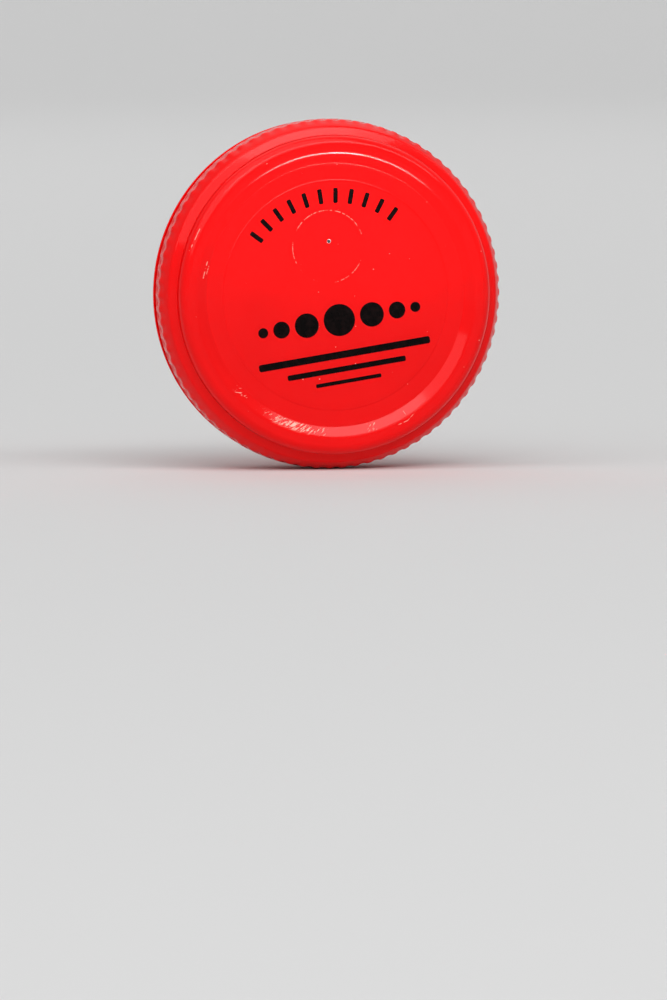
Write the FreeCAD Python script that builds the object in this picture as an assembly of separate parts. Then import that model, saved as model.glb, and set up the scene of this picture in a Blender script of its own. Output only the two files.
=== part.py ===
"""Screw-lid tin made into a pinhole camera: a flat round tin, standing on its rim.

Millimetres. The tin's axis runs along Y, with the lid's printed face towards -Y and the
base's foot towards +Y, +Z is up, and the origin is the point under the middle of the tin
where it rests on its fluted rim.

Profiles are drawn as (radius, depth) pairs, where depth counts along +Y from the front
face of the lid's recessed panel, and are turned about the tin's axis.
"""

import FreeCAD, Part
import math
import os

# ---------------------------------------------------------------- driving dimensions
SHEET = 0.35                    # lacquered sheet of the lid and the base

# Lid, each radius counted inwards from the rim
RIM_RADIUS = 41.5               # grip and hem, the largest radius
FLARE_WIDTH = 1.65              # smooth band to the grip
FLARE_HEIGHT = 3.3
LEDGE_WIDTH = 1.75              # smooth band round the raised face
LEDGE_DROP = 0.45
CREST_WIDTH = 3.9               # raised face's outside to its recess wall
RECESS_WIDTH = 2.9              # recess wall, measured along the radius
CREST_HEIGHT = 1.0              # crest in front of the recessed panel
PLATEAU_HEIGHT = 3.5            # crest to the smooth band
PLATEAU_ROUND = 2.3
ROUND_CHORD_COUNT = 2           # flats that stand for that round
GRIP_LENGTH = 3.0               # straight part of the grip
WAIST_STEP = 0.75               # thread zone, inside the grip and the hem
THREAD_ZONE = 4.4
HEM_LENGTH = 0.9                # rolled edge at the lid's mouth

# Grip flutes
FLUTE_COUNT = 80
FLUTE_WIDTH = 2.2
FLUTE_DEPTH = 0.35
FLUTE_SHOULDER = 0.2            # smooth edge in front of the flutes
GRIP_WALL = 0.7                 # sheet and the backs of the pressed flutes

# Screw thread, rolled into both sheets
THREAD_PITCH = 3.2
THREAD_HEIGHT = 1.0             # bead above the base's neck
THREAD_CREST_WIDTH = 0.9
THREAD_ROOT_WIDTH = 2.2
THREAD_BITE = 0.5               # how far the two beads reach past each other
THREAD_CLEARANCE = 0.5          # bead crest of the base to the lid's wall
LID_THREAD_TURNS = 0.75
BASE_THREAD_TURNS = 1.2
THREAD_RUN_OUT = 0.1            # turns over which a bead fades into the sheet
THREAD_STATION_COUNT = 12       # places per turn that a bead's path goes through

# Base
TIN_DEPTH = 25.0                # crest of the lid to the foot of the base
STOP_BEAD_HEIGHT = 1.5          # bead that the lid's hem stops at, above the wall
STOP_BEAD_GAP = 0.4
STOP_BEAD_LENGTH = 1.8
MOUTH_CURL_WIDTH = 1.3
MOUTH_CURL_LENGTH = 1.1
FOOT_CHAMFER = 2.2
FOOT_WIDTH = 2.4                # flat ring that the base rests on
FOOT_HEIGHT = 0.8
FOOT_SLOPE = 0.8

# Light seal, a foam ring lying loose in the lid
SEAL_THICKNESS = 1.0
SEAL_WIDTH = 2.3
SEAL_CLEARANCE = 0.3            # to the lid and to the mouth of the base

# Pinhole
PINHOLE_OFFSET = 12.85          # from the tin's axis
PINHOLE_ANGLE = 7.0             # degrees to the left of straight up, from the front
LID_HOLE_RADIUS = 0.5
FOIL_RADIUS = 4.0
FOIL_THICKNESS = 0.1
FOIL_HOLE_RADIUS = 0.15
TAPE_RADIUS = 7.0
TAPE_WINDOW_RADIUS = 2.5
TAPE_THICKNESS = 0.15
TAPE_CLEARANCE = 0.1            # round the foil's edge

# Photographic paper
PAPER_CLEARANCE = 0.5           # to the foot of the base, all round
PAPER_THICKNESS = 0.3

# ---------------------------------------------------------------- worked-out places
HALF = SHEET / 2.0
LEDGE_RADIUS = RIM_RADIUS - FLARE_WIDTH
PLATEAU_RADIUS = LEDGE_RADIUS - LEDGE_WIDTH
RECESS_RADIUS = PLATEAU_RADIUS - CREST_WIDTH
PANEL_RADIUS = RECESS_RADIUS - RECESS_WIDTH
CREST_DEPTH = -CREST_HEIGHT
LEDGE_DEPTH = CREST_DEPTH + PLATEAU_HEIGHT
FLARE_START = LEDGE_DEPTH + LEDGE_DROP
GRIP_START = FLARE_START + FLARE_HEIGHT
GRIP_END = GRIP_START + GRIP_LENGTH
WAIST_RADIUS = RIM_RADIUS - WAIST_STEP
LID_END = GRIP_END + THREAD_ZONE + HEM_LENGTH

WAIST_INNER = WAIST_RADIUS - SHEET
BASE_BEAD_CREST = WAIST_INNER - THREAD_CLEARANCE
BASE_RADIUS = BASE_BEAD_CREST - THREAD_HEIGHT       # neck and wall of the base, outside
LID_BEAD_CREST = BASE_BEAD_CREST - THREAD_BITE
LID_THREAD_START = GRIP_END + THREAD_ROOT_WIDTH / 2.0

SEAL_FRONT = FLARE_START + SHEET + SEAL_CLEARANCE
SEAL_OUTER = LEDGE_RADIUS - SHEET - SEAL_CLEARANCE
MOUTH_DEPTH = SEAL_FRONT + SEAL_THICKNESS + SEAL_CLEARANCE
STOP_START = LID_END + STOP_BEAD_GAP
FOOT_DEPTH = CREST_DEPTH + TIN_DEPTH
FLOOR_DEPTH = FOOT_DEPTH - FOOT_HEIGHT - SHEET      # inside face of the base's panel
PAPER_RADIUS = BASE_RADIUS - FOOT_CHAMFER - PAPER_CLEARANCE

MIDDLE_DEPTH = (CREST_DEPTH + FOOT_DEPTH) / 2.0
AXIS = FreeCAD.Vector(0, 1, 0)
CENTRE = FreeCAD.Vector(0, 0, 0)


# ---------------------------------------------------------------- drawing helpers
def turned(outline):
    """A solid turned about the tin's axis from a closed outline of (radius, depth) pairs."""
    corners = [FreeCAD.Vector(radius, depth, 0) for radius, depth in outline]
    return Part.Face(Part.makePolygon(corners + corners[:1])).revolve(CENTRE, AXIS, 360)


def ring(inner, outer, front, back):
    """A plain ring or, with no inner radius, a disc about the tin's axis."""
    return turned([(inner, front), (outer, front), (outer, back), (inner, back)])


def unit(start, end):
    length = math.dist(start, end)
    return (end[0] - start[0]) / length, (end[1] - start[1]) / length


def meet(point_a, way_a, point_b, way_b):
    """Where two lines cross, each given by a point and a direction."""
    cross = way_a[0] * way_b[1] - way_a[1] * way_b[0]
    gap = (point_b[0] - point_a[0], point_b[1] - point_a[1])
    along = (gap[0] * way_b[1] - gap[1] * way_b[0]) / cross
    return point_a[0] + way_a[0] * along, point_a[1] + way_a[1] * along


def beside(line, shift):
    """The bent line that runs at an even distance to the left of another."""
    ways = [unit(start, end) for start, end in zip(line, line[1:])]
    moved = [(p[0] - way[1] * shift, p[1] + way[0] * shift) for p, way in zip(line, ways)]
    run = moved[:1]
    for index in range(1, len(ways)):
        run.append(meet(moved[index - 1], ways[index - 1], moved[index], ways[index]))
    last, way = line[-1], ways[-1]
    run.append((last[0] - way[1] * shift, last[1] + way[0] * shift))
    return run


def pressed_sheet(line):
    """A turned shell of the sheet's thickness to the left of its outer line."""
    return turned(line + beside(line, SHEET)[::-1])


def round_corners(centre, radius, chords):
    """The corners of a quarter round that starts straight in front of its centre."""
    corners = []
    for step in range(chords + 1):
        angle = math.pi / 2.0 * step / chords
        corners.append((centre[0] + radius * math.sin(angle), centre[1] - radius * math.cos(angle)))
    return corners


def rolled_bead(root_radius, crest_radius, start_depth, turns):
    """A bead on a right-hand helix, which comes out of the sheet and fades back into it."""
    root, crest = THREAD_ROOT_WIDTH / 2.0, THREAD_CREST_WIDTH / 2.0
    sunk = root_radius - crest_radius
    stations = math.ceil(turns * THREAD_STATION_COUNT)
    path = []
    for station in range(stations + 1):
        turned_by = turns * station / stations
        to_end = min(turned_by, turns - turned_by) / THREAD_RUN_OUT
        radius = root_radius + sunk * 0.5 * (1.0 + math.cos(math.pi * min(to_end, 1.0)))
        angle = 2.0 * math.pi * turned_by
        depth = start_depth + THREAD_PITCH * turned_by
        path.append(FreeCAD.Vector(radius * math.sin(angle), depth, radius * math.cos(angle)))
    curve = Part.BSplineCurve()
    curve.interpolate(path)
    section = []
    for radius, depth in ((0, -root), (-sunk, -crest), (-sunk, crest), (0, root)):
        section.append(path[0] + FreeCAD.Vector(0, depth, radius))
    sweep = Part.BRepOffsetAPI.MakePipeShell(Part.Wire(curve.toShape()))
    sweep.setBiNormalMode(AXIS)
    sweep.add(Part.makePolygon(section + section[:1]))
    sweep.build()
    sweep.makeSolid()
    return sweep.shape()


# ---------------------------------------------------------------- pieces
def make_lid_shell():
    """Printed lid: recessed face, stepped edge, fluted grip, rolled thread and hem."""
    round_centre = (PLATEAU_RADIUS - PLATEAU_ROUND, CREST_DEPTH + PLATEAU_ROUND)
    outside = [(0, 0), (PANEL_RADIUS, 0), (RECESS_RADIUS, CREST_DEPTH)]
    outside += round_corners(round_centre, PLATEAU_ROUND, ROUND_CHORD_COUNT)
    outside += [
        (PLATEAU_RADIUS, LEDGE_DEPTH),
        (LEDGE_RADIUS, FLARE_START),
        (RIM_RADIUS, GRIP_START),
        (RIM_RADIUS, GRIP_END),
        (WAIST_RADIUS, GRIP_END),
        (WAIST_RADIUS, LID_END),
    ]
    shell = pressed_sheet(outside)
    hem = ring(WAIST_INNER, RIM_RADIUS, LID_END - HEM_LENGTH, LID_END)

    # The backs of the flutes stand in from the sheet, so the grip's wall is deeper there.
    backing = ring(RIM_RADIUS - GRIP_WALL, RIM_RADIUS - HALF, GRIP_START, GRIP_END)
    bead = rolled_bead(WAIST_RADIUS - HALF, LID_BEAD_CREST, LID_THREAD_START, LID_THREAD_TURNS)
    bead = bead.common(ring(0, WAIST_RADIUS - HALF, CREST_DEPTH, FOOT_DEPTH))
    shell = shell.fuse([hem, backing, bead]).removeSplitter()
    return shell.cut([grip_flutes(), pinhole_drill(LID_HOLE_RADIUS, CREST_DEPTH, 2.0 * SHEET)])


def grip_flutes():
    """The hollows between the grip's ribs, as a set of notched bars."""
    front, back = GRIP_START + FLUTE_SHOULDER, GRIP_END + SHEET
    hollow = [(FLUTE_WIDTH, FLUTE_DEPTH), (0, -FLUTE_DEPTH), (-FLUTE_WIDTH, FLUTE_DEPTH)]
    corners = [FreeCAD.Vector(RIM_RADIUS + out, front, side) for side, out in hollow]
    cutter = Part.Face(Part.makePolygon(corners + corners[:1]))
    cutter = cutter.extrude(FreeCAD.Vector(0, back - front, 0))
    flutes = []
    for index in range(FLUTE_COUNT):
        flute = cutter.copy()
        flute.rotate(CENTRE, AXIS, 360.0 * (index + 0.5) / FLUTE_COUNT)
        flutes.append(flute)
    return Part.makeCompound(flutes)


def pinhole_drill(radius, front, back):
    """A round bar along the pinhole's line of sight."""
    angle = math.radians(PINHOLE_ANGLE)
    place = FreeCAD.Vector(-PINHOLE_OFFSET * math.sin(angle), front,
                           PINHOLE_OFFSET * math.cos(angle))
    return Part.makeCylinder(radius, back - front, place, AXIS)


def make_pinhole_foil():
    """Bare metal foil behind the lid's hole, with the pinhole itself."""
    back = SHEET + FOIL_THICKNESS
    return pinhole_drill(FOIL_RADIUS, SHEET, back).cut(pinhole_drill(FOIL_HOLE_RADIUS, SHEET, back))


def make_foil_tape():
    """Black ring of tape that holds the foil to the inside of the lid."""
    foil_back = SHEET + FOIL_THICKNESS
    back = foil_back + TAPE_THICKNESS
    tape = pinhole_drill(TAPE_RADIUS, SHEET, back)
    tape = tape.cut(pinhole_drill(FOIL_RADIUS + TAPE_CLEARANCE, SHEET, foil_back))
    return tape.cut(pinhole_drill(TAPE_WINDOW_RADIUS, SHEET, back))


def make_light_seal():
    """Foam ring between the lid's ledge and the mouth of the base."""
    return ring(SEAL_OUTER - SEAL_WIDTH, SEAL_OUTER, SEAL_FRONT, SEAL_FRONT + SEAL_THICKNESS)


def make_tin_base():
    """Drawn base: curled mouth, neck with its rolled thread, stop bead, wall and foot."""
    foot_outer = BASE_RADIUS - FOOT_CHAMFER
    foot_inner = foot_outer - FOOT_WIDTH
    outside = [
        (BASE_RADIUS, MOUTH_DEPTH),
        (BASE_RADIUS, FOOT_DEPTH - FOOT_CHAMFER),
        (foot_outer, FOOT_DEPTH),
        (foot_inner, FOOT_DEPTH),
        (foot_inner - FOOT_SLOPE, FLOOR_DEPTH + SHEET),
        (0, FLOOR_DEPTH + SHEET),
    ]
    shell = pressed_sheet(outside)
    curl = ring(BASE_RADIUS - MOUTH_CURL_WIDTH, BASE_RADIUS - HALF, MOUTH_DEPTH,
                MOUTH_DEPTH + MOUTH_CURL_LENGTH)
    stop_end = STOP_START + STOP_BEAD_LENGTH
    stop = turned([(BASE_RADIUS - HALF, STOP_START), (BASE_RADIUS, STOP_START),
                   (BASE_RADIUS + STOP_BEAD_HEIGHT, (STOP_START + stop_end) / 2.0),
                   (BASE_RADIUS, stop_end), (BASE_RADIUS - HALF, stop_end)])

    # The base's thread ends beside the lid's and runs half a pitch in front of it.
    extra = BASE_THREAD_TURNS - LID_THREAD_TURNS
    start = LID_THREAD_START - THREAD_PITCH * (0.5 + extra)
    bead = rolled_bead(BASE_RADIUS - HALF, BASE_BEAD_CREST, start, BASE_THREAD_TURNS)
    bead.rotate(CENTRE, AXIS, -360.0 * extra)
    bead = bead.cut(ring(0, BASE_RADIUS - HALF, CREST_DEPTH, FOOT_DEPTH))
    return shell.fuse([curl, stop, bead]).removeSplitter()


def make_photo_paper():
    """Disc of photographic paper lying on the floor of the base."""
    return ring(0, PAPER_RADIUS, FLOOR_DEPTH - PAPER_THICKNESS, FLOOR_DEPTH)


# ---------------------------------------------------------------- output
PIECES = {
    "lid_shell": make_lid_shell,
    "pinhole_foil": make_pinhole_foil,
    "foil_tape": make_foil_tape,
    "light_seal": make_light_seal,
    "tin_base": make_tin_base,
    "photo_paper": make_photo_paper,
}

os.makedirs("parts", exist_ok=True)
for name, make in PIECES.items():
    shape = make()
    shape.translate(FreeCAD.Vector(0, -MIDDLE_DEPTH, RIM_RADIUS))
    shape.exportStep("parts/" + name + ".step")
    print(name, "solids", len(shape.Solids), "valid", shape.isValid(),
          "volume", round(shape.Volume, 1), "faces", len(shape.Faces))
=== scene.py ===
"""Dressed model of a round screw-lid tin that was made into a pinhole camera.

The tin stands on its fluted rim, its axis along Y and its printed lid towards -Y. Depths are
counted along +Y from the front face of the lid's recessed panel, and radii from the axis.
Lengths are metres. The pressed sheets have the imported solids' sizes, apart from a few that
differ by up to 0.35 mm.
"""

from __future__ import annotations

import logging
import math
from collections.abc import Callable, Iterable
from dataclasses import dataclass
from enum import Enum

import bmesh
import bpy
from mathutils import Matrix, Vector

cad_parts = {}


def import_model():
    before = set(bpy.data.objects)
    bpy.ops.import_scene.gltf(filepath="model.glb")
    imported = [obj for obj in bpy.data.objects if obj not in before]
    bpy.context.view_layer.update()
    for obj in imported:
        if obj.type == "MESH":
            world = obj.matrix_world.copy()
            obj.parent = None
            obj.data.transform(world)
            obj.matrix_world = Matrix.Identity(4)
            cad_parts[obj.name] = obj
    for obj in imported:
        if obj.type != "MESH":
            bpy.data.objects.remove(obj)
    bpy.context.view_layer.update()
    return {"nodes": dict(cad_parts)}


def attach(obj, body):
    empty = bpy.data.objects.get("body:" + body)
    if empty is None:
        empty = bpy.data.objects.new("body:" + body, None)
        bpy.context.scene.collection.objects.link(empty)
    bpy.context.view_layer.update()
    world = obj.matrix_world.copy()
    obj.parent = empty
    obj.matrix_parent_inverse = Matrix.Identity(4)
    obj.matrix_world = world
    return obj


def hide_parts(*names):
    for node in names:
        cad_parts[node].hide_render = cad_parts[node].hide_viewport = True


log = logging.getLogger("tin")

Piece = bpy.types.Object
Socket = bpy.types.NodeSocket
Colour = tuple[float, float, float, float]
RadialShift = Callable[[float, float, float], float]     # from a radius, an angle and a depth

MM = 0.001
FULL_TURN = 2.0 * math.pi
ACROSS = (1.0, 0.0, 1.0)        # keeps what lies across the tin's axis
RING_SLACK = 0.02 * MM          # how far a ring's vertices may lie from its corner
CURL_SLACK = 0.002 * MM         # keeps the two rounds of a curl from meeting
CREASE_ANGLE = 40.0             # degrees; sharper edges of pressed sheet stay creases


@dataclass(frozen=True)
class TinAxis:
    """The line that every pressed piece is round about."""

    height: float = 41.5 * MM
    middle_depth: float = 11.5 * MM

    def point(self, depth: float) -> Vector:
        """The place on the axis at a depth behind the lid's panel."""
        return Vector((0.0, depth - self.middle_depth, self.height))

    def polar(self, place: Vector) -> tuple[float, float, float]:
        """A place's radius, its angle from straight up towards +X, and its depth."""
        across, up = place.x, place.z - self.height
        return math.hypot(across, up), math.atan2(across, up), place.y + self.middle_depth

    def place(self, radius: float, angle: float, depth: float) -> Vector:
        """The place with a radius, an angle and a depth."""
        return self.point(depth) + Vector((radius * math.sin(angle), 0.0, radius * math.cos(angle)))


AXIS = TinAxis()


class Wall(Enum):
    """The two sides of a pressed sheet, as material slots."""

    OUTSIDE = 0
    INSIDE = 1


# ------------------------------------------------------------------------------ modelling by hand
def deselect_all() -> None:
    """Leaves nothing selected."""
    if bpy.context.mode != "OBJECT":
        bpy.ops.object.mode_set(mode="OBJECT")
    bpy.ops.object.select_all(action="DESELECT")


def pick(piece: Piece) -> None:
    """Leaves one piece selected and active."""
    deselect_all()
    piece.select_set(True)
    bpy.context.view_layer.objects.active = piece


def edit(piece: Piece) -> bmesh.types.BMesh:
    """Opens a piece in edit mode.

    Args:
        piece: The mesh object to work on.

    Returns:
        Its edit mesh, for selecting faces and edges by place.
    """
    pick(piece)
    bpy.ops.object.mode_set(mode="EDIT")
    bpy.ops.mesh.select_mode(type="EDGE")
    return bmesh.from_edit_mesh(piece.data)


def leave_edit() -> None:
    """Goes back to object mode."""
    bpy.ops.object.mode_set(mode="OBJECT")


def finish_piece(piece: Piece, smooth_angle: float) -> None:
    """Puts a piece's place into its mesh and smooths what isn't a crease.

    Args:
        piece: The mesh object.
        smooth_angle: Edges that turn by less than this, in degrees, are shaded smooth.
    """
    pick(piece)
    bpy.ops.object.transform_apply(location=True, rotation=True, scale=True)
    bpy.ops.object.shade_smooth_by_angle(angle=math.radians(smooth_angle))
    apply_modifier(piece, "WEIGHTED_NORMAL", keep_sharp=True)


def apply_modifier(piece: Piece, kind: str, **settings: object) -> None:
    """Adds a modifier and applies it.

    Args:
        piece: The mesh object.
        kind: Blender's name for the kind of modifier.
        **settings: The modifier's own settings.
    """
    modifier = piece.modifiers.new(kind.title(), kind)
    for name, value in settings.items():
        setattr(modifier, name, value)
    bpy.context.view_layer.objects.active = piece
    bpy.ops.object.modifier_apply(modifier=modifier.name)


def join(pieces: list[Piece], name: str) -> Piece:
    """Joins pieces into the first one.

    Args:
        pieces: The mesh objects, the one that is kept first.
        name: The new name.

    Returns:
        The joined object.
    """
    deselect_all()
    for piece in pieces:
        piece.select_set(True)
    bpy.context.view_layer.objects.active = pieces[0]
    bpy.ops.object.join()
    pieces[0].name = pieces[0].data.name = name
    return pieces[0]


@dataclass(frozen=True)
class Bend:
    """A corner of a pressed sheet's middle line, with the round that it is pressed to."""

    radius: float
    depth: float
    bend: float = 0.0
    steps: int = 4


@dataclass
class PressedSheet:
    """A round sheet, drawn ring by ring from its middle outwards and then given its wall."""

    name: str
    line: list[Bend]
    thickness: float = 0.35 * MM
    faces_front: bool = True
    around: int = 480

    def draw(self) -> Piece:
        """Draws the middle surface: a disc whose edge is extruded and resized corner by corner."""
        first = self.line[1]
        turn = math.pi / 2.0 if self.faces_front else -math.pi / 2.0
        deselect_all()
        bpy.ops.mesh.primitive_circle_add(
            vertices=self.around, radius=first.radius, fill_type="TRIFAN",
            location=AXIS.point(first.depth), rotation=(turn, 0.0, 0.0))
        sheet = bpy.context.object
        sheet.name = sheet.data.name = self.name
        bpy.ops.object.transform_apply(location=True, rotation=True, scale=True)
        mesh = edit(sheet)
        self._select_ring(mesh, first)
        for last, corner in zip(self.line[1:], self.line[2:]):
            bpy.ops.mesh.extrude_edges_move(
                TRANSFORM_OT_translate={"value": (0.0, corner.depth - last.depth, 0.0)})
            scale = corner.radius / last.radius
            bpy.ops.transform.resize(value=(scale, 1.0, scale),
                                     center_override=AXIS.point(corner.depth))
        self._round_bends(sheet)
        leave_edit()
        return sheet

    @staticmethod
    def _select_ring(mesh: bmesh.types.BMesh, corner: Bend) -> None:
        """Selects the ring of edges at a corner."""
        bpy.ops.mesh.select_all(action="DESELECT")
        near = set()
        for vertex in mesh.verts:
            radius, _, depth = AXIS.polar(vertex.co)
            off = max(abs(radius - corner.radius), abs(depth - corner.depth))
            if off < RING_SLACK:
                near.add(vertex)
        ring = [edge for edge in mesh.edges if near.issuperset(edge.verts)]
        for edge in ring:
            edge.select_set(True)

    def _round_bends(self, sheet: Piece) -> None:
        """Bevels each corner to its pressed round."""
        for index in range(1, len(self.line) - 1):
            before, corner, after = self.line[index - 1:index + 2]
            if corner.bend <= 0.0:
                continue
            way_in = math.atan2(corner.depth - before.depth, corner.radius - before.radius)
            way_out = math.atan2(after.depth - corner.depth, after.radius - corner.radius)
            turn = abs((way_out - way_in + math.pi) % FULL_TURN - math.pi)
            mesh = bmesh.from_edit_mesh(sheet.data)
            self._select_ring(mesh, corner)
            bmesh.update_edit_mesh(sheet.data)
            bpy.ops.mesh.bevel(offset=corner.bend * math.tan(turn / 2.0), segments=corner.steps,
                               profile=0.5, affect="EDGES", clamp_overlap=False)

    def form(self, shift: RadialShift) -> Piece:
        """Draws the sheet, rolls it and gives it its wall.

        Args:
            shift: How far the rollers press it outwards.

        Returns:
            The closed sheet, with its inside as the second material.
        """
        sheet = self.draw()
        shift_radially(sheet, shift)
        apply_modifier(sheet, "SOLIDIFY", thickness=self.thickness, offset=0.0,
                       use_even_offset=False, use_quality_normals=True, use_rim=True,
                       material_offset=Wall.INSIDE.value)
        return sheet


def even_rings(start: Bend, end: Bend, parts: int) -> list[Bend]:
    """The rings that divide a straight run of sheet.

    Args:
        start: The corner where the run starts.
        end: The corner where it ends.
        parts: How many equal parts it is divided into.

    Returns:
        The rings between the two corners, without the corners themselves.
    """
    rings = []
    for part in range(1, parts):
        share = part / parts
        rings.append(Bend(start.radius + (end.radius - start.radius) * share,
                          start.depth + (end.depth - start.depth) * share))
    return rings


def shift_radially(sheet: Piece, shift: RadialShift) -> None:
    """Presses a sheet in or out, as its rollers do.

    Args:
        sheet: The sheet's middle surface.
        shift: Gives the outward shift from a radius, an angle and a depth.
    """
    for vertex in sheet.data.vertices:
        radius, angle, depth = AXIS.polar(vertex.co)
        moved = shift(radius, angle, depth)
        if moved:
            vertex.co = AXIS.place(radius + moved, angle, depth)


def smooth_step(low: float, high: float, value: float) -> float:
    """Rises smoothly from 0 at low to 1 at high."""
    share = min(max((value - low) / (high - low), 0.0), 1.0)
    return share * share * (3.0 - 2.0 * share)


@dataclass(frozen=True)
class ScrewThread:
    """A right-hand bead that is rolled into a sheet."""

    start_depth: float
    turns: float
    start_angle: float = 0.0
    pitch: float = 3.2 * MM
    height: float = 1.0 * MM
    crest_width: float = 0.9 * MM
    root_width: float = 2.2 * MM
    run_out: float = 0.1

    def rise(self, angle: float, depth: float) -> float:
        """How high the bead stands at an angle and a depth."""
        best = 0.0
        part = ((angle - self.start_angle) / FULL_TURN) % 1.0
        while part <= self.turns:
            off = abs(depth - self.start_depth - self.pitch * part)
            body = 1.0 - smooth_step(self.crest_width / 2.0, self.root_width / 2.0, off)
            fade = smooth_step(0.0, self.run_out, min(part, self.turns - part))
            best = max(best, self.height * body * fade)
            part += 1.0
        return best


# ------------------------------------------------------------------------------ finishes
class NodeTree:
    """A material's nodes, added and linked in short words."""

    def __init__(self, name: str) -> None:
        """Starts a material with a bare Principled shader.

        Args:
            name: The material's name.
        """
        self.material = bpy.data.materials.new(name)
        self.material.use_nodes = True
        self.tree = self.material.node_tree
        self.shader = self.tree.nodes["Principled BSDF"]
        self.place = self.tree.nodes.new("ShaderNodeTexCoord").outputs["Object"]

    def node(self, kind: str, inputs: dict[str | int, object] | None = None,
             **settings: object) -> bpy.types.Node:
        """Adds a node.

        Args:
            kind: Blender's name for the node, without its ShaderNode prefix.
            inputs: Values or output sockets for the node's inputs.
            **settings: The node's own settings.

        Returns:
            The new node.
        """
        made = self.tree.nodes.new("ShaderNode" + kind)
        for name, value in settings.items():
            setattr(made, name, value)
        for name, value in (inputs or {}).items():
            self.feed(made.inputs[name], value)
        return made

    def feed(self, socket: Socket, value: object) -> None:
        """Links an output to a socket, or sets the socket's own value."""
        if isinstance(value, Socket):
            self.tree.links.new(value, socket)
        else:
            socket.default_value = value

    def math(self, operation: str, *values: object) -> Socket:
        """The result of a Math node."""
        made = self.node("Math", operation=operation)
        for socket, value in zip(made.inputs, values):
            self.feed(socket, value)
        return made.outputs[0]

    def times(self, first: object, second: object) -> Socket:
        """The product of two values."""
        return self.math("MULTIPLY", first, second)

    def vector(self, operation: str, *values: object) -> Socket:
        """The vector that a Vector Math node gives."""
        return self.node("VectorMath", dict(enumerate(values)), operation=operation).outputs[0]

    def length(self, value: object) -> Socket:
        """A vector's length."""
        return self.node("VectorMath", {0: value}, operation="LENGTH").outputs["Value"]

    def noise(self, scale: float, detail: float = 3.0, **inputs: object) -> Socket:
        """A noise over the piece's own coordinates, with its scale in features a metre."""
        return self.node("TexNoise", {"Vector": self.place, "Scale": scale, "Detail": detail,
                                      **inputs}).outputs["Fac"]

    def ramp(self, value: object, low: float, high: float) -> Socket:
        """Maps a value smoothly from 0 at low to 1 at high."""
        made = self.node("MapRange", {"Value": value, "From Min": low, "From Max": high},
                         interpolation_type="SMOOTHSTEP")
        return made.outputs["Result"]

    def fall(self, value: object, low: float, high: float) -> Socket:
        """Maps a value smoothly from 1 at low to 0 at high."""
        return self.math("SUBTRACT", 1.0, self.ramp(value, low, high))

    def mix(self, share: object, first: object, second: object) -> Socket:
        """Mixes two colours."""
        made = self.node("Mix", data_type="RGBA")
        self.feed(made.inputs[0], share)
        self.feed(made.inputs[6], first)
        self.feed(made.inputs[7], second)
        return made.outputs[2]

    def distance(self, centre: Vector) -> Socket:
        """The distance from a centre, measured across the tin's axis."""
        off = self.vector("SUBTRACT", self.place, centre)
        return self.length(self.vector("MULTIPLY", off, ACROSS))

    def front(self) -> Socket:
        """How far back a point lies, along +Y."""
        return self.node("SeparateXYZ", {"Vector": self.place}).outputs["Y"]

    def bump(self, height: object, depth: float, below: object = None) -> Socket:
        """A bump of a real depth in metres."""
        inputs = {"Height": height, "Distance": depth, "Strength": 1.0}
        if below is not None:
            inputs["Normal"] = below
        return self.node("Bump", inputs).outputs["Normal"]

    def dress(self, **inputs: object) -> None:
        """Feeds the shader's sockets, whose names are given with underscores."""
        for name, value in inputs.items():
            self.feed(self.shader.inputs[name.replace("_", " ")], value)


@dataclass(frozen=True)
class Finish:
    """What a surface is made of or painted with."""

    name: str

    def build(self) -> bpy.types.Material:
        """Makes the material."""
        t = NodeTree(self.name)
        self.lay(t)
        return t.material

    def lay(self, t: NodeTree) -> None:
        """Feeds the shader."""
        raise NotImplementedError


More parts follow.
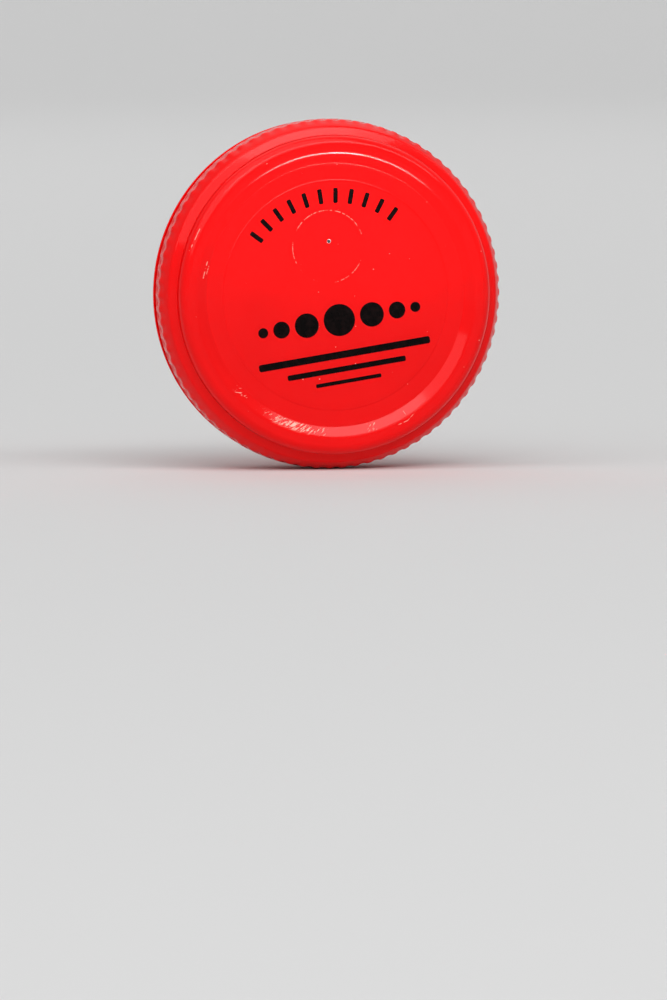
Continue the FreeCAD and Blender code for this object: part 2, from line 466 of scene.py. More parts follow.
@dataclass(frozen=True)
class GlossLacquer(Finish):
    """Baked red lacquer on tinplate, with its orange peel, nibs, marks and rubbed edges, and pale
    painted glints on the die's marks, along fine scratch lines and on the sticker trace.

    Mark and glint patches are (middle, spread, strength) round the axis, in degrees from straight
    down.
    Scratch glint lines are (across, up, across, up, width) from the axis, in millimetres.
    """

    colour: Colour = (0.92, 0.0012, 0.0020, 1.0)
    deep_colour: Colour = (0.88, 0.0010, 0.0015, 1.0)
    rub_radius: float = 0.0
    trace_centre: Vector | None = None
    trace_radius: float = 8.6 * MM
    drawn_wall: tuple[float, float] = (31.3 * MM, 33.9 * MM)
    # Where the die's marks lie round the lower wall, and where their pale glints are painted.
    marks_and_glint_patches: tuple[tuple[float, float, float], ...] = (
        (-19.0, 24.0, 1.0), (-45.7, 8.0, 0.7), (15.0, 10.0, 0.55))
    # Fine lines on the crest that are painted pale as glints.
    scratch_glint_lines: tuple[tuple[float, float, float, float, float], ...] = (
        (-33.0, 16.0, -35.4, 10.9, 0.14), (-31.1, 8.2, -32.1, 4.4, 0.22),
        (-30.6, 7.4, -31.4, 4.9, 0.12), (15.0, -30.9, 17.3, -29.9, 0.16),
        (17.3, -29.9, 19.4, -27.7, 0.10), (16.1, -27.2, 17.0, -28.6, 0.08))
    # Pale colour painted as glints on the marks and scratch lines, and used for real dust specks.
    glint_and_dust_colour: Colour = (1.0, 0.62, 0.50, 1.0)
    dust_cells: float = 230.0
    dust_size: float = 0.14 * MM
    dust_share: float = 0.2
    rubbed_colour: Colour = (0.55, 0.50, 0.47, 1.0)
    # Pale colour painted as a glint on the sticker trace.
    trace_glint_colour: Colour = (0.95, 0.40, 0.32, 1.0)
    peel_depth: float = 0.004 * MM
    nib_depth: float = 0.010 * MM
    mark_depth: float = 0.020 * MM
    # How strongly the painted glints and the dust show.
    mark_glint_opacity: float = 0.8
    scratch_glint_opacity: float = 0.55
    dust_opacity: float = 0.5
    # How strongly the sticker trace's painted glint shows.
    trace_glint_opacity: float = 0.6
    rub_width: float = 0.12 * MM

    def lay(self, t: NodeTree) -> None:
        """Feeds the shader."""
        cloud = t.noise(60.0, 4.0)
        colour = t.mix(t.ramp(cloud, 0.35, 0.7), self.deep_colour, self.colour)
        roughness: object = t.math("MULTIPLY_ADD", t.noise(900.0), 0.06, 0.07)
        peel = t.bump(t.noise(420.0, 2.0), self.peel_depth)
        nibs = t.math("GREATER_THAN", t.noise(2600.0, 1.0), 0.78)
        normal = t.bump(nibs, self.nib_depth, peel)
        if self.trace_centre is not None:
            marks = self._drawing_marks_and_glints(t)
            normal = t.bump(marks, self.mark_depth, normal)
            colour, roughness = self._sticker_trace(t, colour, roughness)
            # Painted glints: pale flecks on the die's marks and along the scratch lines, with real
            # specks of dust.
            glints_and_dust = t.math("MAXIMUM", t.times(marks, self.mark_glint_opacity), self._scratch_glints(t))
            glints_and_dust = t.math("MAXIMUM", glints_and_dust, self._dust(t))
            colour = t.mix(glints_and_dust, colour, self.glint_and_dust_colour)
        if self.rub_radius:
            rubbed = self._rubbed(t)
            colour = t.mix(rubbed, colour, self.rubbed_colour)
            t.dress(Metallic=rubbed)
        t.dress(Base_Color=colour, Roughness=roughness, Normal=normal, Specular_IOR_Level=0.12,
                Coat_Weight=0.18, Coat_Roughness=0.03, Coat_IOR=1.45)

    def _drawing_marks_and_glints(self, t: NodeTree) -> Socket:
        """The die's slanted marks in patches of the recess's wall, and their painted glints."""
        off = t.vector("SUBTRACT", t.place, AXIS.point(0.0))
        parts = t.node("SeparateXYZ", {"Vector": off})
        reach = t.distance(AXIS.point(0.0))
        angle = t.math("ARCTAN2", parts.outputs["X"], t.times(parts.outputs["Z"], -1.0))
        slanted = t.math("ADD", angle, t.times(reach, 30.0))
        polar = t.node("CombineXYZ", {"X": t.times(slanted, 46.0), "Y": t.times(reach, 500.0)})
        streaks = t.node("TexNoise", {"Vector": polar.outputs[0], "Scale": 1.4, "Detail": 3.0,
                                      "Roughness": 0.65}).outputs["Fac"]
        # Patches round the lower wall, where the painted glints sit.
        patches: object = 0.0
        for middle, spread, share in self.marks_and_glint_patches:
            off_patch = t.math("ABSOLUTE", t.math("SUBTRACT", angle, math.radians(middle)))
            patch = t.math("SUBTRACT", share, t.ramp(off_patch, 0.0, math.radians(spread)))
            patches = t.math("MAXIMUM", patches, patch)
        low, high = self.drawn_wall
        wall = t.times(t.ramp(reach, low, low + 0.4 * MM), t.fall(reach, high - 1.2 * MM, high))
        gain = t.math("ADD", 0.72, t.times(patches, 0.42))
        sharp = t.ramp(t.times(streaks, gain), 0.54, 0.60)
        return t.times(t.times(wall, sharp), t.ramp(patches, 0.0, 0.2))

    def _scratch_glints(self, t: NodeTree) -> Socket:
        """A few fine scratch lines on the crest, painted pale as glints and broken where they skip.
        """
        skips = t.ramp(t.noise(1300.0, 2.0), 0.44, 0.54)
        outside = t.math("LESS_THAN", t.front(), AXIS.point(1.0 * MM).y)
        total: object = 0.0
        for start_x, start_up, end_x, end_up, width in self.scratch_glint_lines:
            start = AXIS.point(0.0) + Vector((start_x * MM, 0.0, start_up * MM))
            along = Vector(((end_x - start_x) * MM, 0.0, (end_up - start_up) * MM))
            flat = t.vector("MULTIPLY", t.vector("SUBTRACT", t.place, start), ACROSS)
            ahead = t.node("VectorMath", {0: flat, 1: along}, operation="DOT_PRODUCT")
            share = t.math("DIVIDE", ahead.outputs["Value"], along.length_squared)
            share = t.node("Clamp", {"Value": share}).outputs[0]
            foot = t.node("VectorMath", {0: along, "Scale": share}, operation="SCALE").outputs[0]
            gap = t.length(t.vector("SUBTRACT", flat, foot))
            line = t.fall(gap, 0.3 * width * MM, 0.8 * width * MM)
            total = t.math("MAXIMUM", total, line)
        return t.times(t.times(total, skips), t.times(outside, self.scratch_glint_opacity))

    def _dust(self, t: NodeTree) -> Socket:
        """Sparse pale specks of dust on the face."""
        parts = t.node("SeparateXYZ", {"Vector": t.place})
        flat = t.node("CombineXYZ", {"X": parts.outputs["X"], "Y": parts.outputs["Z"]})
        cells = t.node("TexVoronoi", {"Vector": flat.outputs[0], "Scale": self.dust_cells},
                       voronoi_dimensions="2D")
        chance = t.node("SeparateColor", {"Color": cells.outputs["Color"]})
        size = t.times(chance.outputs["Green"], self.dust_size * self.dust_cells)
        speck = t.math("LESS_THAN", cells.outputs["Distance"], size)
        chosen = t.math("LESS_THAN", chance.outputs["Red"], self.dust_share)
        outside = t.math("LESS_THAN", parts.outputs["Y"], AXIS.point(0.12 * MM).y)
        return t.times(t.times(speck, chosen), t.times(outside, self.dust_opacity))

    def _sticker_trace(self, t: NodeTree, colour: object,
                       roughness: object) -> tuple[object, object]:
        """The faint broken ring of adhesive that a peeled-off shutter sticker leaves, with a
        painted pale glint.
        """
        reach = t.distance(self.trace_centre)
        edge = t.math("ABSOLUTE", t.math("SUBTRACT", reach, self.trace_radius))
        ring = t.fall(edge, 0.02 * MM, 0.13 * MM)
        broken = t.times(t.ramp(t.noise(1500.0, 2.0), 0.44, 0.56),
                         t.ramp(t.noise(190.0, 1.0), 0.46, 0.54))
        on_face = t.math("LESS_THAN", t.front(), AXIS.point(0.5 * MM).y)
        trace = t.times(t.times(ring, broken), on_face)
        inside = t.fall(reach, self.trace_radius - 0.4 * MM, self.trace_radius)
        haze = t.times(t.times(inside, t.ramp(t.noise(700.0), 0.4, 0.8)),
                       t.times(on_face, 0.12))
        # The adhesive's haze is real roughness; its pale colour is a painted glint.
        colour = t.mix(t.times(trace, self.trace_glint_opacity), colour, self.trace_glint_colour)
        roughness = t.math("ADD", roughness, t.math("ADD", haze, t.times(trace, 0.4)))
        return colour, roughness

    def _rubbed(self, t: NodeTree) -> Socket:
        """Where the lacquer is rubbed through at the largest radius, in short scuffs."""
        reach = t.distance(AXIS.point(0.0))
        crest = t.ramp(reach, self.rub_radius - self.rub_width, self.rub_radius)
        scuffs = t.ramp(t.noise(800.0, 5.0, Roughness=0.7), 0.60, 0.66)
        return t.times(crest, scuffs)


@dataclass(frozen=True)
class SprayedBlack(Finish):
    """Matt black paint from a spray can, uneven and grainy."""

    def lay(self, t: NodeTree) -> None:
        """Feeds the shader."""
        colour = t.mix(t.ramp(t.noise(140.0, 5.0), 0.35, 0.7), (0.010, 0.010, 0.011, 1.0),
                       (0.024, 0.023, 0.023, 1.0))
        grain = t.bump(t.noise(3200.0, 3.0), 0.012 * MM)
        t.dress(Base_Color=colour, Roughness=t.math("MULTIPLY_ADD", t.noise(600.0), 0.25, 0.62),
                Normal=grain, Specular_IOR_Level=0.3)


@dataclass(frozen=True)
class PrintInk(Finish):
    """Screen-printed black ink under the same gloss as the lacquer."""

    def lay(self, t: NodeTree) -> None:
        """Feeds the shader."""
        colour = t.mix(t.ramp(t.noise(700.0, 3.0), 0.4, 0.7), (0.002, 0.001, 0.001, 1.0),
                       (0.007, 0.003, 0.003, 1.0))
        t.dress(Base_Color=colour, Roughness=t.math("MULTIPLY_ADD", t.noise(1100.0), 0.10, 0.14),
                Normal=t.bump(t.noise(900.0, 2.0), 0.003 * MM), Specular_IOR_Level=0.06)


@dataclass(frozen=True)
class BareFoil(Finish):
    """Thin rolled metal, cut by hand, painted near-black round the pinhole as the hole's shade."""

    pinhole: Vector

    def lay(self, t: NodeTree) -> None:
        """Feeds the shader."""
        stretched = t.node("Mapping", {"Vector": t.place, "Scale": (260.0, 260.0, 5200.0)})
        rolled = t.node("TexNoise", {"Vector": stretched.outputs[0], "Scale": 1.0, "Detail": 3.0})
        reach = t.distance(self.pinhole)
        # Painted shade: the foil is near-black round the pinhole, where the hole is dark.
        hole_shade = t.fall(reach, 0.30 * MM, 0.46 * MM)
        colour = t.mix(hole_shade, t.mix(rolled.outputs["Fac"], (0.78, 0.78, 0.79, 1.0),
                                    (0.90, 0.90, 0.91, 1.0)), (0.02, 0.02, 0.02, 1.0))
        t.dress(Base_Color=colour, Metallic=1.0,
                Roughness=t.math("MULTIPLY_ADD", rolled.outputs["Fac"], 0.15, 0.22),
                Normal=t.bump(rolled.outputs["Fac"], 0.002 * MM))


@dataclass(frozen=True)
class VinylTape(Finish):
    """Black electrical tape with a fine calendered grain."""

    def lay(self, t: NodeTree) -> None:
        """Feeds the shader."""
        colour = t.mix(t.noise(300.0, 3.0), (0.012, 0.012, 0.013, 1.0), (0.030, 0.030, 0.032, 1.0))
        t.dress(Base_Color=colour, Roughness=t.math("MULTIPLY_ADD", t.noise(1500.0), 0.15, 0.35),
                Normal=t.bump(t.noise(2200.0, 2.0), 0.010 * MM), Specular_IOR_Level=0.45)


@dataclass(frozen=True)
class BlackFoam(Finish):
    """Closed-cell foam with open pores where it was cut."""

    def lay(self, t: NodeTree) -> None:
        """Feeds the shader."""
        cells = t.node("TexVoronoi", {"Vector": t.place, "Scale": 2600.0}).outputs["Distance"]
        colour = t.mix(t.ramp(cells, 0.1, 0.6), (0.030, 0.030, 0.033, 1.0),
                       (0.010, 0.010, 0.011, 1.0))
        t.dress(Base_Color=colour, Roughness=0.9, Normal=t.bump(cells, 0.05 * MM),
                Specular_IOR_Level=0.2, Sheen_Weight=0.15)


@dataclass(frozen=True)
class PhotographicPaper(Finish):
    """Resin-coated paper with the faint grey of unfixed silver."""

    def lay(self, t: NodeTree) -> None:
        """Feeds the shader."""
        colour = t.mix(t.ramp(t.noise(35.0, 3.0), 0.35, 0.75), (0.80, 0.78, 0.74, 1.0),
                       (0.72, 0.69, 0.67, 1.0))
        t.dress(Base_Color=colour, Roughness=t.math("MULTIPLY_ADD", t.noise(900.0), 0.08, 0.30),
                Normal=t.bump(t.noise(1800.0, 3.0), 0.003 * MM), Specular_IOR_Level=0.45,
                Coat_Weight=0.2, Coat_Roughness=0.2)


def paint(piece: Piece, *materials: bpy.types.Material) -> None:
    """Gives a piece its materials, one slot each.

    Args:
        piece: The mesh object.
        *materials: What its slots hold, in order.
    """
    while len(piece.material_slots) < len(materials):
        piece.data.materials.append(None)
    for slot, material in zip(piece.material_slots, materials):
        slot.material = material


# ------------------------------------------------------------------------------ lid
@dataclass
class Lid:
    """The screw lid: one pressed sheet, its print, and the pinhole behind it."""

    sheet: float = 0.35 * MM
    crest_height: float = 1.0 * MM
    step_radius: float = 27.3 * MM
    step_width: float = 0.20 * MM
    step_depth: float = 0.09 * MM
    panel_radius: float = 31.3 * MM
    recess_width: float = 2.6 * MM
    plateau_radius: float = 37.8 * MM
    plateau_round: float = 2.3 * MM
    step_round: float = 0.22 * MM
    panel_round: float = 0.4 * MM
    recess_round: float = 2.4 * MM
    ledge_round: float = 0.35 * MM
    flare_round: float = 0.8 * MM
    grip_round: float = 1.5 * MM
    waist_round: float = 0.3 * MM
    ledge_depth: float = 2.5 * MM
    ledge_radius: float = 39.85 * MM
    ledge_drop: float = 0.72 * MM
    rim_radius: float = 41.5 * MM
    grip_start: float = 6.25 * MM
    grip_end: float = 9.25 * MM
    waist_radius: float = 40.75 * MM
    waist_run: float = 0.45 * MM
    lid_end: float = 14.55 * MM
    hem_length: float = 0.9 * MM
    flute_count: int = 80
    flute_depth: float = 0.28 * MM
    flute_flank: tuple[float, float] = (0.25, 0.80)
    flute_run_in: tuple[float, float] = (1.9 * MM, 0.2 * MM)
    flute_run_out: tuple[float, float] = (0.9 * MM, 0.1 * MM)
    hem_radius: float = 41.15 * MM
    pinhole_offset: float = 12.85 * MM
    pinhole_angle: float = math.radians(-7.0)
    hole_radius: float = 0.5 * MM
    trace_centre: tuple[float, float] = (-1.78 * MM, 11.5 * MM)
    thread: ScrewThread = ScrewThread(start_depth=10.35 * MM, turns=0.75)

    def middle_line(self) -> list[Bend]:
        """The sheet's middle line, from the axis to the end of its hem."""
        half = self.sheet / 2.0
        panel, crest = half, half - self.crest_height
        outer_panel = panel + self.step_depth
        plateau, grip, waist = (radius - half for radius in
                                (self.plateau_radius, self.rim_radius, self.waist_radius))
        flare_start = self.ledge_depth + self.ledge_drop
        hem = self.lid_end - half
        hem_outer = self.hem_radius - half
        curl = (self.hem_radius - self.waist_radius) / 2.0 - CURL_SLACK
        waist_start = self.grip_end + self.waist_run
        line = [
            Bend(0.0, panel),
            Bend(self.step_radius - 0.5 * MM, panel),
            Bend(self.step_radius - self.step_width / 2.0, panel, self.step_round, 2),
            Bend(self.step_radius + self.step_width / 2.0, outer_panel, self.step_round, 2),
            Bend(self.panel_radius, outer_panel, self.panel_round, 4),
            Bend(self.panel_radius + self.recess_width, crest, self.recess_round, 7),
            Bend(plateau, crest, self.plateau_round - half, 9),
            Bend(plateau, self.ledge_depth + half, self.ledge_round, 3),
            Bend(self.ledge_radius - half, flare_start + half, self.flare_round, 3),
        ]
        line += even_rings(line[-1], Bend(grip, self.grip_start), 6)
        line += [Bend(grip, self.grip_start, self.grip_round, 3)]
        line += even_rings(line[-1], Bend(grip, self.grip_end), 4)
        line += [Bend(grip, self.grip_end, self.waist_round, 2),
                 Bend(waist, waist_start, self.waist_round, 2)]
        line += even_rings(line[-1], Bend(waist, hem), 16)
        line += [Bend(waist, hem, curl, 4), Bend(hem_outer, hem, curl, 4),
                 Bend(hem_outer, hem - self.hem_length + half)]
        return line

    def pressing(self, radius: float, angle: float, depth: float) -> float:
        """How far the rollers press the skirt in: flutes on the grip, thread on the waist."""
        start_far, start_near = self.flute_run_in
        end_far, end_near = self.flute_run_out
        if depth < self.grip_start - start_far or radius < self.ledge_radius:
            return 0.0
        pitch = FULL_TURN / self.flute_count
        part = abs((angle / pitch) % 1.0 - 0.5) * 2.0
        hollow = 1.0 - smooth_step(*self.flute_flank, part)
        along = smooth_step(self.grip_start - start_far, self.grip_start - start_near, depth)
        along *= 1.0 - smooth_step(self.grip_end - end_far, self.grip_end - end_near, depth)
        pressed = -self.flute_depth * hollow * along
        if depth > self.grip_end + self.waist_run and radius < self.waist_radius:
            pressed -= self.thread.rise(angle, depth)
        return pressed

    def pinhole_place(self, depth: float) -> Vector:
        """The pinhole's place at a depth."""
        return AXIS.place(self.pinhole_offset, self.pinhole_angle, depth)

    def build_shell(self) -> Piece:
        """Makes the pressed lid with its drilled hole."""
        press = PressedSheet("lid_pressing", self.middle_line(), self.sheet,
                             around=7 * self.flute_count)
        shell = press.form(self.pressing)
        self._drill(shell)
        finish_piece(shell, CREASE_ANGLE)
        lacquer = GlossLacquer("lid_red_lacquer", trace_centre=self._trace_place())
        paint(shell, lacquer.build(), SprayedBlack("lid_inside_black").build())
        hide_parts("lid_shell")
        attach(shell, "lid")
        return shell

    def _trace_place(self) -> Vector:
        """The middle of the peeled sticker's trace."""
        across, up = self.trace_centre
        return AXIS.point(0.0) + Vector((across, 0.0, up))

    def _drill(self, shell: Piece) -> None:
        """Drills the hole in front of the pinhole."""
        deselect_all()
        bpy.ops.mesh.primitive_cylinder_add(
            vertices=48, radius=self.hole_radius, depth=4.0 * self.sheet,
            location=self.pinhole_place(self.sheet / 2.0), rotation=(math.pi / 2.0, 0.0, 0.0))
        drill = bpy.context.object
        deselect_all()
        shell.select_set(True)
        apply_modifier(shell, "BOOLEAN", operation="DIFFERENCE", solver="EXACT", object=drill)
        bpy.data.objects.remove(drill)

    def dress_pinhole(self, nodes: dict[str, Piece]) -> None:
        """Dresses the foil and the tape that holds it."""
        paint(nodes["pinhole_foil"], BareFoil("bare_foil", self.pinhole_place(0.4 * MM)).build())
        paint(nodes["foil_tape"], VinylTape("black_tape").build())


@dataclass
class FacePrint:
    """A plain printed design on the panel: an arc of ticks, and a row of dots over three rules.

    Dot sizes, and the rules' (drop, length, width), are millimetres.
    """

    ink: float = 0.03 * MM
    roll: float = math.radians(9.0)
    tick_count: int = 11
    tick_radius: float = 23.6 * MM
    tick_length: float = 3.6 * MM
    tick_width: float = 1.1 * MM
    tick_spread: float = math.radians(90.0)
    dot_sizes: tuple[float, ...] = (2.4, 4.0, 5.8, 7.6, 5.8, 4.0, 2.4)
    dot_gap: float = 1.3 * MM
    dot_drop: float = 6.0 * MM
    corner_share: float = 0.3
    rules: tuple[tuple[float, float, float], ...] = ((14.2, 42.0, 1.7), (17.6, 29.0, 1.3),
                                                     (20.6, 16.0, 0.9))

    def build(self) -> Piece:
        """Prints the whole design as one thin layer."""
        pads = self._ticks() + self._dots() + self._rules()
        layer = join(pads, "face_print")
        finish_piece(layer, 30.0)
        paint(layer, PrintInk("black_print").build())
        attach(layer, "lid")
        return layer

    def _centre(self, across: float, up: float) -> Vector:
        """The place of a motif, rolled with the print, in the middle of the ink's thickness."""
        turn = Matrix.Rotation(-self.roll, 3, "Y")
        return AXIS.point(-0.4 * self.ink) + turn @ Vector((across, 0.0, up))

    def _bar(self, place: Vector, width: float, height: float, turn: float) -> Piece:
        """A thin bar with round corners, turned about the tin's axis."""
        deselect_all()
        bpy.ops.mesh.primitive_cube_add(size=1.0)
        bar = bpy.context.object
        bar.scale = (width, self.ink, height)
        bpy.ops.object.transform_apply(location=False, rotation=False, scale=True)
        mesh = edit(bar)
        for edge in mesh.edges:
            along = (edge.verts[0].co - edge.verts[1].co).normalized()
            edge.select = abs(along.y) > 0.9
        bmesh.update_edit_mesh(bar.data)
        bpy.ops.mesh.bevel(offset=min(width, height) * self.corner_share, segments=5,
                           affect="EDGES")
        leave_edit()
        bar.rotation_euler = (0.0, turn, 0.0)
        bar.location = place
        return bar

    def _ticks(self) -> list[Piece]:
        """The arc of radial ticks."""
        ticks = []
        for index in range(self.tick_count):
            angle = self.tick_spread * (index / (self.tick_count - 1) - 0.5)
            place = self._centre(self.tick_radius * math.sin(angle),
                                 self.tick_radius * math.cos(angle))
            ticks.append(self._bar(place, self.tick_width, self.tick_length, angle - self.roll))
        return ticks

    def _dots(self) -> list[Piece]:
        """The row of dots, largest in the middle."""
        dots = []
        sizes = [size * MM for size in self.dot_sizes]
        across = -(sum(sizes) + self.dot_gap * (len(sizes) - 1)) / 2.0
        for size in sizes:
            deselect_all()
            bpy.ops.mesh.primitive_cylinder_add(
                vertices=72, radius=size / 2.0, depth=self.ink,
                location=self._centre(across + size / 2.0, -self.dot_drop),
                rotation=(math.pi / 2.0, 0.0, 0.0))
            dots.append(bpy.context.object)
            across += size + self.dot_gap
        return dots

    def _rules(self) -> list[Piece]:
        """The rules under the dots, each shorter and thinner than the one above."""
        return [self._bar(self._centre(0.0, -drop * MM), length * MM, width * MM, -self.roll)
                for drop, length, width in self.rules]


# ------------------------------------------------------------------------------ base
@dataclass
class Base:
    """The drawn base with its curled mouth, rolled thread, stop bead and foot."""

    sheet: float = 0.35 * MM
    mouth_depth: float = 4.9 * MM
    curl_width: float = 1.3 * MM
    curl_length: float = 1.1 * MM
    radius: float = 38.9 * MM
    stop_start: float = 14.95 * MM
    stop_length: float = 1.8 * MM
    stop_height: float = 1.5 * MM
    foot_depth: float = 24.0 * MM
    foot_round: float = 2.2 * MM
    foot_width: float = 2.4 * MM
    foot_slope: float = 0.8 * MM
    floor_round: float = 0.4 * MM
    stop_root_round: float = 0.25 * MM
    stop_crest_round: float = 0.45 * MM
    neck_slack: float = 0.05 * MM
    floor_depth: float = 22.85 * MM
    thread: ScrewThread = ScrewThread(start_depth=7.31 * MM, turns=1.2,
                                      start_angle=-0.45 * FULL_TURN)

    def middle_line(self) -> list[Bend]:
        """The sheet's middle line, from the axis to the end of its mouth curl."""
        half = self.sheet / 2.0
        wall = self.radius - half
        curl_end = self.radius - self.curl_width + half
        curl = (self.curl_width - self.sheet) / 2.0 - CURL_SLACK
        foot_outer = self.radius - self.foot_round
        foot_inner = foot_outer - self.foot_width
        foot, floor, mouth = (self.foot_depth - half, self.floor_depth + half,
                              self.mouth_depth + half)
        stop_end = self.stop_start + self.stop_length
        line = [
            Bend(0.0, floor),
            Bend(foot_inner - self.foot_slope, floor, self.floor_round, 4),
            Bend(foot_inner, foot, self.floor_round, 4),
            Bend(wall, foot, self.foot_round - half, 10),
            Bend(wall, stop_end, self.stop_root_round, 3),
            Bend(wall + self.stop_height, (self.stop_start + stop_end) / 2.0,
                 self.stop_crest_round, 5),
            Bend(wall, self.stop_start, self.stop_root_round, 3),
        ]
        line += even_rings(line[-1], Bend(wall, mouth), 30)
        line += [Bend(wall, mouth, curl, 5), Bend(curl_end, mouth, curl, 5),
                 Bend(curl_end, mouth + self.curl_length - half)]
        return line

    def pressing(self, radius: float, angle: float, depth: float) -> float:
        """How far the rollers press the neck out into its thread."""
        neck = self.mouth_depth + self.curl_length < depth < self.stop_start
        if not neck or abs(radius - self.radius + self.sheet / 2.0) > self.neck_slack:
            return 0.0
        return self.thread.rise(angle, depth)

    def build_shell(self) -> Piece:
        """Makes the drawn base."""
        press = PressedSheet("base_pressing", self.middle_line(), self.sheet, faces_front=False)
        shell = press.form(self.pressing)
        finish_piece(shell, CREASE_ANGLE)
        lacquer = GlossLacquer("base_red_lacquer", rub_radius=self.radius + self.thread.height)
        paint(shell, lacquer.build(), SprayedBlack("base_inside_black").build())
        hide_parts("tin_base")
        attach(shell, "tin")
        return shell

    def dress_paper(self, nodes: dict[str, Piece]) -> None:
        """Dresses the paper that lies on the floor."""
        paint(nodes["photo_paper"], PhotographicPaper("photographic_paper").build())


@dataclass
class LightSeal:
    """The foam ring that lies loose in the lid, with soft edges."""

    front: float = 3.6 * MM
    thickness: float = 1.0 * MM
    outer: float = 39.2 * MM
    width: float = 2.3 * MM
    edge: float = 0.3 * MM
    around: int = 256

    def build(self) -> Piece:
        """Cuts the ring and rounds its edges."""
        deselect_all()
        bpy.ops.mesh.primitive_circle_add(
            vertices=self.around, radius=self.outer, fill_type="NOTHING",
            location=AXIS.point(self.front), rotation=(math.pi / 2.0, 0.0, 0.0))
        foam = bpy.context.object
        foam.name = foam.data.name = "foam_light_seal"
        bpy.ops.object.transform_apply(location=True, rotation=True, scale=True)
        edit(foam)
        bpy.ops.mesh.select_all(action="SELECT")
        inner = (self.outer - self.width) / self.outer
        bpy.ops.mesh.extrude_edges_move(TRANSFORM_OT_translate={"value": (0.0, 0.0, 0.0)})
        bpy.ops.transform.resize(value=(inner, 1.0, inner), center_override=AXIS.point(self.front))
        bpy.ops.mesh.select_all(action="SELECT")
        bpy.ops.mesh.extrude_region_move(
            TRANSFORM_OT_translate={"value": (0.0, self.thickness, 0.0)})
        bpy.ops.mesh.select_all(action="SELECT")
        bpy.ops.mesh.normals_make_consistent(inside=False)
        leave_edit()
        apply_modifier(foam, "BEVEL", width=self.edge, segments=4, limit_method="ANGLE",
                       angle_limit=math.radians(60.0))
        finish_piece(foam, 50.0)
        paint(foam, BlackFoam("black_foam").build())
        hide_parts("light_seal")
        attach(foam, "seal")
        return foam


# ------------------------------------------------------------------------------ studio
@dataclass(frozen=True)
class LampPlace:
    """Where a lamp hangs, seen from the tin's middle.

    The azimuth is turned from the lid's front towards +X. Both angles are degrees.
    """

    azimuth: float
    elevation: float
    distance: float

    def way(self) -> Vector:
        """The direction from the tin to the lamp."""
        azimuth, elevation = math.radians(self.azimuth), math.radians(self.elevation)
        return Vector((math.sin(azimuth) * math.cos(elevation),
                       -math.cos(azimuth) * math.cos(elevation), math.sin(elevation)))


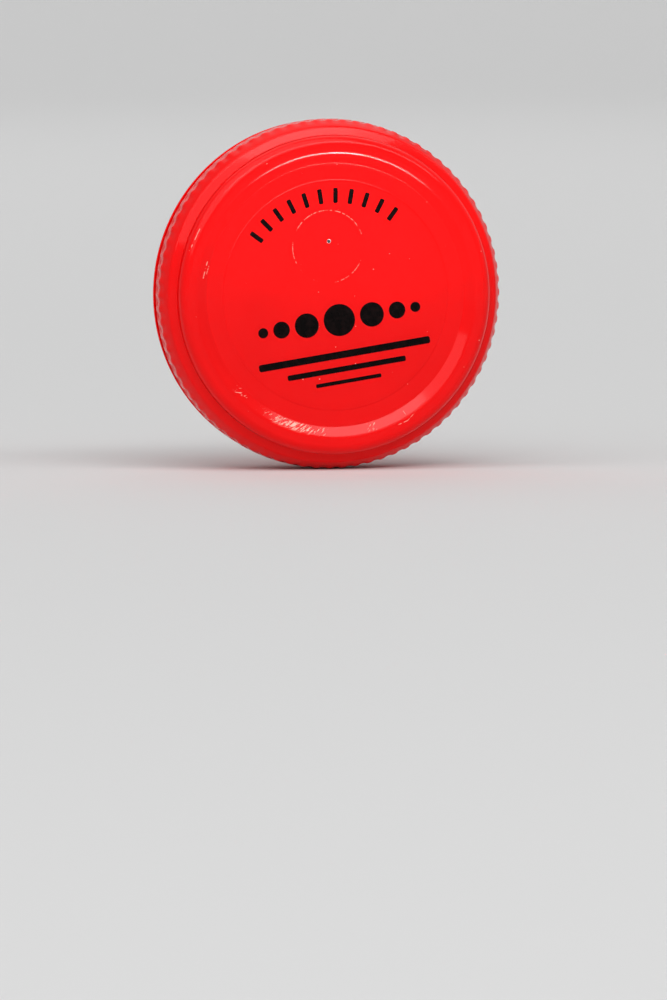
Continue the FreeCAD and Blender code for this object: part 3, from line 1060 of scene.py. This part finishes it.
@dataclass
class Studio:
    """A pale sweep, soft lamps and the photograph's point of view."""

    azimuth: float = math.radians(-12.9)
    elevation: float = math.radians(2.7)
    distance: float = 3.0
    pixels_across: int = 667
    pixels_a_metre: float = 4210.0
    right_of_middle: float = -8.85
    above_middle: float = 207.2
    sensor_mm: float = 36.0
    floor_colour: Colour = (0.68, 0.68, 0.68, 1.0)
    world_colour: Colour = (1.0, 1.0, 1.0, 1.0)
    world_strength: float = 0.15
    world_seen: float = 0.56
    floor_size: float = 9.0
    floor_drop: float = 0.1 * MM
    sweep_bend: float = 0.4
    edge_slack: float = 1.0 * MM
    fill_place: LampPlace = LampPlace(-30.0, 50.0, 2.0)
    fill_strength: float = 1.9
    fill_angle: float = math.radians(80.0)
    key_place: LampPlace = LampPlace(15.0, 41.0, 3.0)
    key_size: tuple[float, float] = (4.4, 0.7)
    key_power: float = 38.0
    back_place: LampPlace = LampPlace(175.0, 45.0, 2.5)
    back_size: float = 2.5
    back_power: float = 9.0
    reflector_place: tuple[float, float, float] = (0.026, -0.121, 0.001)
    reflector_size: tuple[float, float] = (0.06, 0.04)
    reflector_power: float = 0.023
    reflector_spread: float = math.radians(40.0)
    reflector_aim: float = 33.0 * MM

    def build_camera(self) -> None:
        """Places the camera so that the tin lies where the photograph has it."""
        target = AXIS.point(AXIS.middle_depth)
        back = Vector((math.sin(self.azimuth) * math.cos(self.elevation),
                       -math.cos(self.azimuth) * math.cos(self.elevation),
                       math.sin(self.elevation)))
        right = Vector((math.cos(self.azimuth), math.sin(self.azimuth), 0.0))
        up = back.cross(right)
        aim = (target - right * (self.right_of_middle / self.pixels_a_metre)
               - up * (self.above_middle / self.pixels_a_metre))
        place = target + back * self.distance
        deselect_all()
        bpy.ops.object.camera_add(location=place)
        camera = bpy.context.object
        camera.rotation_euler = (aim - place).to_track_quat("-Z", "Y").to_euler()
        camera.data.sensor_fit = "HORIZONTAL"
        camera.data.sensor_width = self.sensor_mm
        depth = (target - place).dot((aim - place).normalized())
        view_width = self.pixels_across / self.pixels_a_metre
        camera.data.lens = self.sensor_mm * depth / view_width
        bpy.context.scene.camera = camera

    def build_sweep(self) -> None:
        """Lays the pale floor that rises in one curve into the backdrop."""
        deselect_all()
        bpy.ops.mesh.primitive_plane_add(size=self.floor_size,
                                         location=(0.0, 0.0, -self.floor_drop))
        sweep = bpy.context.object
        sweep.name = "studio_sweep"
        bpy.ops.object.transform_apply(location=True, rotation=True, scale=True)
        back = self.floor_size / 2.0
        edge = back - self.edge_slack
        self._select_edges(edit(sweep), lambda place: place.y > edge)
        bpy.ops.mesh.extrude_edges_move(TRANSFORM_OT_translate={"value": (0.0, 0.0, back)})
        self._select_edges(edit(sweep),
                           lambda place: place.y > edge and place.z < self.edge_slack)
        bpy.ops.mesh.bevel(offset=self.sweep_bend * back, segments=24, affect="EDGES")
        leave_edit()
        bpy.ops.object.shade_smooth()
        material = bpy.data.materials.new("studio_pale")
        material.use_nodes = True
        shader = material.node_tree.nodes["Principled BSDF"]
        shader.inputs["Base Color"].default_value = self.floor_colour
        shader.inputs["Roughness"].default_value = 0.9
        shader.inputs["Specular IOR Level"].default_value = 0.1
        paint(sweep, material)

    @staticmethod
    def _select_edges(mesh: bmesh.types.BMesh, wanted: Callable[[Vector], bool]) -> None:
        """Selects the edges whose two ends lie where they're wanted."""
        bpy.ops.mesh.select_all(action="DESELECT")
        for edge in mesh.edges:
            if all(wanted(vertex.co) for vertex in edge.verts):
                edge.select_set(True)

    def build_lights(self) -> None:
        """Hangs the soft fill, the key, the lamp behind and the low one, and sets the world."""
        self._lamp("SUN", self.fill_place, energy=self.fill_strength, angle=self.fill_angle)
        self._lamp("AREA", self.key_place, shape="RECTANGLE", size=self.key_size[0],
                   size_y=self.key_size[1], energy=self.key_power)
        self._lamp("AREA", self.back_place, size=self.back_size, energy=self.back_power)
        self._low_reflector()
        self._world()
        bpy.context.scene.view_settings.view_transform = "Standard"

    def _world(self) -> None:
        """Sets a dim world that is seen, also in gloss and glass, as pale as the backdrop."""
        world = bpy.data.worlds.new("studio_world")
        world.use_nodes = True
        tree = world.node_tree
        background = tree.nodes["Background"]
        background.inputs["Color"].default_value = self.world_colour
        rays = tree.nodes.new("ShaderNodeLightPath")
        seen = rays.outputs["Is Camera Ray"]
        for kind in ("Is Glossy Ray", "Is Transmission Ray"):
            either = tree.nodes.new("ShaderNodeMath")
            either.operation = "MAXIMUM"
            tree.links.new(seen, either.inputs[0])
            tree.links.new(rays.outputs[kind], either.inputs[1])
            seen = either.outputs[0]
        strength = tree.nodes.new("ShaderNodeMapRange")
        strength.inputs["To Min"].default_value = self.world_strength
        strength.inputs["To Max"].default_value = self.world_seen
        tree.links.new(seen, strength.inputs["Value"])
        tree.links.new(strength.outputs["Result"], background.inputs["Strength"])
        bpy.context.scene.world = world

    def _low_reflector(self) -> None:
        """Lays a small honeycombed lamp on the floor, aimed at the top of the lid's crest."""
        size, size_y = self.reflector_size
        reflector = self._lamp("AREA", LampPlace(0.0, 0.0, 0.1), shape="RECTANGLE", size=size,
                               size_y=size_y, energy=self.reflector_power,
                               spread=self.reflector_spread)
        reflector.location = self.reflector_place
        aim = AXIS.place(self.reflector_aim, 0.0, 0.0) - reflector.location
        reflector.rotation_euler = aim.to_track_quat("-Z", "Y").to_euler()
        reflector.visible_camera = False

    @staticmethod
    def _lamp(kind: str, place: LampPlace, **settings: object) -> Piece:
        """Hangs a lamp that points at the tin's middle.

        Args:
            kind: Blender's name for the kind of lamp.
            place: Where it hangs.
            **settings: The lamp's own settings.

        Returns:
            The lamp.
        """
        middle = AXIS.point(AXIS.middle_depth)
        way = place.way()
        deselect_all()
        bpy.ops.object.light_add(type=kind, location=middle + way * place.distance)
        lamp = bpy.context.object
        lamp.rotation_euler = way.to_track_quat("Z", "Y").to_euler()
        for name, value in settings.items():
            setattr(lamp.data, name, value)
        return lamp


def main() -> None:
    """Builds the dressed tin piece by piece."""
    logging.basicConfig(level=logging.INFO, format="%(message)s")
    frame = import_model()
    nodes = frame["nodes"]
    studio = Studio()
    studio.build_camera()
    lid, base = Lid(), Base()
    for piece in (lid.build_shell(), FacePrint().build(), base.build_shell(),
                  LightSeal().build()):
        log.info("%s: %d faces", piece.name, len(piece.data.polygons))
    lid.dress_pinhole(nodes)
    base.dress_paper(nodes)
    studio.build_sweep()
    studio.build_lights()


if __name__ == "__main__":
    main()
